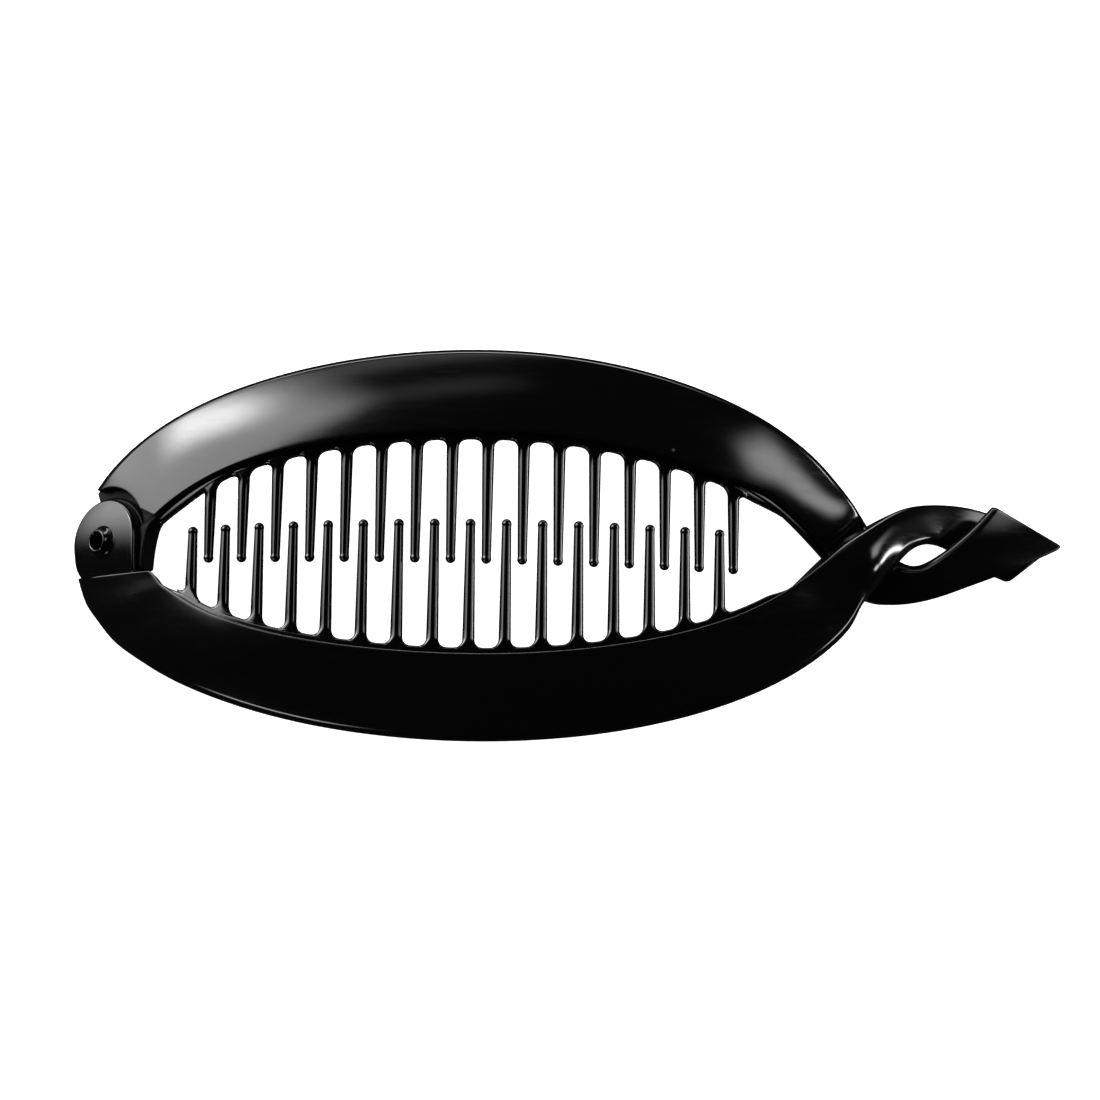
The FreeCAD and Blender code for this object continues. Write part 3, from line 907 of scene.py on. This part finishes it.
def washer_grid(radius, bore, low, high, soft):
    """A flat ring round the pin axis with rounded outer edges."""
    angle = np.linspace(0, 2 * np.pi, 121)[None, :-1]
    turn = np.linspace(0, np.pi / 2, 6)
    r = np.concatenate([[bore, bore], radius - soft + soft * np.sin(turn),
                        radius - soft + soft * np.cos(turn), [bore]])
    z = np.concatenate([[high - 0.1, low], low + soft - soft * np.cos(turn),
                        high - soft + soft * np.sin(turn), [high]])
    r = np.append(r, bore)
    z = np.append(z, high - 0.1)
    p = np.stack([r[:, None] * np.cos(angle), r[:, None] * np.sin(angle),
                  z[:, None] + 0 * angle], axis=-1)
    return from_hinge(p)


washer = washer_grid(TONGUE_R, TONGUE_BORE_R, TONGUE_BACK, TONGUE_FRONT, 0.3)
# the tongue takes the darker matt plastic as painted shade in the gap round the cheek
tongue = make("hinge_tongue", [(collar_grid(), True), (washer, True)], shaded_hinge_plastic,
              "upper_arm", ["upper_hinge_tongue"])

# %% [markdown]
# ## Hinge pin
# The pin is a short tube. Its foot is a flat flange behind the tongue, and
# in front it stands on a flared base and ends in a rounded open lip.

# %% Hinge pin


def pin_grid():
    """A turned profile of radius and height, closed from the bore back to
    the bore: foot, shaft, flare, lip."""
    angle = np.linspace(0, 2 * np.pi, 97)[None, :-1]
    lip = np.linspace(0, np.pi, 11)
    flare = np.linspace(0, 1, 8)
    r = np.concatenate([[1.4, 2.8, 2.95, 3.0, 3.0, 2.9, PIN_R, PIN_R],
                        [2.0], 2.66 - 0.78 * flare ** 0.55,
                        1.645 + 0.225 * np.cos(lip), [1.4, 1.4]])
    z = np.concatenate([[-5.18, -5.18, -5.1, -5.0, -4.7, -4.58, -4.56, -0.3],
                        [-0.2], 0.0 + 1.05 * flare,
                        1.12 + 0.22 * np.sin(lip), [1.0, -5.18]])
    p = np.stack([r[:, None] * np.cos(angle), r[:, None] * np.sin(angle),
                  z[:, None] + 0 * angle], axis=-1)
    return from_hinge(p)


pin = make("hinge_pin_tube", [(pin_grid(), True)], pin_plastic,
           "lower_arm", ["hinge_pin"])

# %% [markdown]
# ## Floor, light and camera
# A white floor with a glow of its own stands for a lit acrylic table: it
# takes no shadow and shows in no reflection. Soft boxes stand low all round
# the clip. Those at the back left and back right mirror in the slopes near
# its ends and leave the crown black; the narrow strips draw the bright
# lines along rims, teeth and pin. The camera looks down with a slight tilt.

# %% Floor, light and camera
low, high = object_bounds()
floor_mesh = bpy.data.meshes.new("floor")
floor_mesh.from_pydata([(-3, -3, 0), (3, -3, 0), (3, 3, 0), (-3, 3, 0)], [],
                       [(0, 1, 2, 3)])
floor = bpy.data.objects.new("floor", floor_mesh)
floor.location.z = float(low[2]) - 0.0002
bpy.context.scene.collection.objects.link(floor)
acrylic = bpy.data.materials.new("white_lit_acrylic")
acrylic.use_nodes = True
paint = acrylic.node_tree.nodes["Principled BSDF"]
paint.inputs["Base Color"].default_value = linear("#f4f4f4")
paint.inputs["Roughness"].default_value = 0.6
paint.inputs["Emission Color"].default_value = linear("#ffffff")
paint.inputs["Emission Strength"].default_value = 1.0
floor.data.materials.append(acrylic)
# the lit table would grey the black gloss and darken under the clip
floor.visible_glossy = False
floor.visible_shadow = False

# a dark room with a pale glow from below the horizon
world = bpy.data.worlds.new("studio")
bpy.context.scene.world = world
world.use_nodes = True
sky = world.node_tree
where = add(sky, "ShaderNodeTexCoord")
split = add(sky, "ShaderNodeSeparateXYZ")
glow = add(sky, "ShaderNodeMapRange",
           [("From Min", -0.35), ("From Max", 0.05), ("To Min", 0.45),
            ("To Max", 0.012)], interpolation_type="SMOOTHSTEP")
sky.links.new(where.outputs["Generated"], split.inputs["Vector"])
sky.links.new(split.outputs["Z"], glow.inputs["Value"])
sky.links.new(glow.outputs["Result"], sky.nodes["Background"].inputs["Strength"])


def soft_box(name, azimuth, elevation, distance, size, roll, brightness, fade):
    """An area light that faces the clip. Azimuth is counted from +X towards
    +Y and elevation from the table, in degrees. It is brightest in the
    middle and fades out over a share of its borders."""
    around, up = math.radians(azimuth), math.radians(elevation)
    toward = np.array([math.cos(around) * math.cos(up), math.sin(around) * math.cos(up),
                       math.sin(up)])
    light = bpy.data.lights.new(name, "AREA")
    light.shape = "RECTANGLE"
    light.size, light.size_y = size
    light.energy = brightness * size[0] * size[1] * math.pi
    light.use_nodes = True
    tree = light.node_tree
    spot = add(tree, "ShaderNodeNewGeometry")
    split = add(tree, "ShaderNodeSeparateXYZ")
    both = add(tree, "ShaderNodeMath", operation="MULTIPLY")
    tree.links.new(spot.outputs["Parametric"], split.inputs["Vector"])
    for n, socket in enumerate(["X", "Y"]):
        off = add(tree, "ShaderNodeMath", [(1, 0.5)], operation="SUBTRACT")
        away = add(tree, "ShaderNodeMath", operation="ABSOLUTE")
        border = add(tree, "ShaderNodeMapRange",
                     [("From Min", 0.5 - fade[n]), ("From Max", 0.5), ("To Min", 1.0),
                      ("To Max", 0.0)], interpolation_type="SMOOTHSTEP")
        tree.links.new(split.outputs[socket], off.inputs[0])
        tree.links.new(off.outputs["Value"], away.inputs[0])
        tree.links.new(away.outputs["Value"], border.inputs["Value"])
        tree.links.new(border.outputs["Result"], both.inputs[n])
    tree.links.new(both.outputs["Value"], tree.nodes["Emission"].inputs["Strength"])
    lamp = bpy.data.objects.new(name, light)
    lamp.location = toward * distance
    lamp.rotation_mode = "QUATERNION"
    lamp.rotation_quaternion = (
        Quaternion((0.0, 0.0, 1.0), around + math.pi / 2)
        @ Quaternion((1.0, 0.0, 0.0), math.pi / 2 - up)
        @ Quaternion((0.0, 0.0, 1.0), math.radians(roll)))
    lamp.visible_camera = False
    bpy.context.scene.collection.objects.link(lamp)
    return lamp


soft_box("box_left", 149.0, 25.0, 0.9, (0.90, 1.02), 0.0, 4.8, (0.27, 0.12))
soft_box("core_left", 144.0, 27.0, 0.88, (0.58, 0.28), -50.0, 14.0, (0.38, 0.45))
soft_box("box_right", 22.0, 35.0, 0.9, (0.62, 0.32), 0.0, 5.0, (0.42, 0.4))
soft_box("strip_right", 10.0, 8.0, 0.9, (0.8, 0.18), 0.0, 22.0, (0.15, 0.35))
soft_box("strip_lens", -18.0, 13.0, 0.9, (0.22, 0.22), 0.0, 11.0, (0.3, 0.35))
soft_box("strip_back", 96.0, 8.0, 0.9, (1.5, 0.22), 0.0, 9.0, (0.3, 0.4))
soft_box("sheen_back", 106.0, 33.0, 0.9, (0.75, 0.2), 0.0, 0.9, (0.35, 0.4))
soft_box("cloud", 105.0, 47.0, 0.9, (0.5, 0.14), 0.0, 0.4, (0.4, 0.45))
soft_box("strip_front", 229.0, 27.0, 0.9, (0.55, 0.24), 0.0, 8.0, (0.3, 0.35))
overhead = soft_box("overhead", 90.0, 76.0, 1.6, (1.2, 1.2), 0.0, 2.0, (0.3, 0.3))
overhead.visible_glossy = False

camera_data = bpy.data.cameras.new("camera")
camera_data.lens = 83.65
camera_data.sensor_width = 36.0
camera_data.clip_start = 0.01
camera = bpy.data.objects.new("camera", camera_data)
aim = np.array([11.53, -1.63, 0.0]) + shift
tilt = math.radians(9.0)
back = np.array([0.0, -math.sin(tilt), math.cos(tilt)])
camera.location = (aim + back * 400.0) * 0.001
camera.rotation_mode = "QUATERNION"
camera.rotation_quaternion = (
    Quaternion((1.0, 0.0, 0.0), tilt) @ Quaternion((0.0, 0.0, 1.0), math.radians(0.85)))
bpy.context.scene.collection.objects.link(camera)
bpy.context.scene.camera = camera
bpy.context.scene.view_settings.view_transform = "Standard"

# %% Finish
bpy.context.view_layer.update()
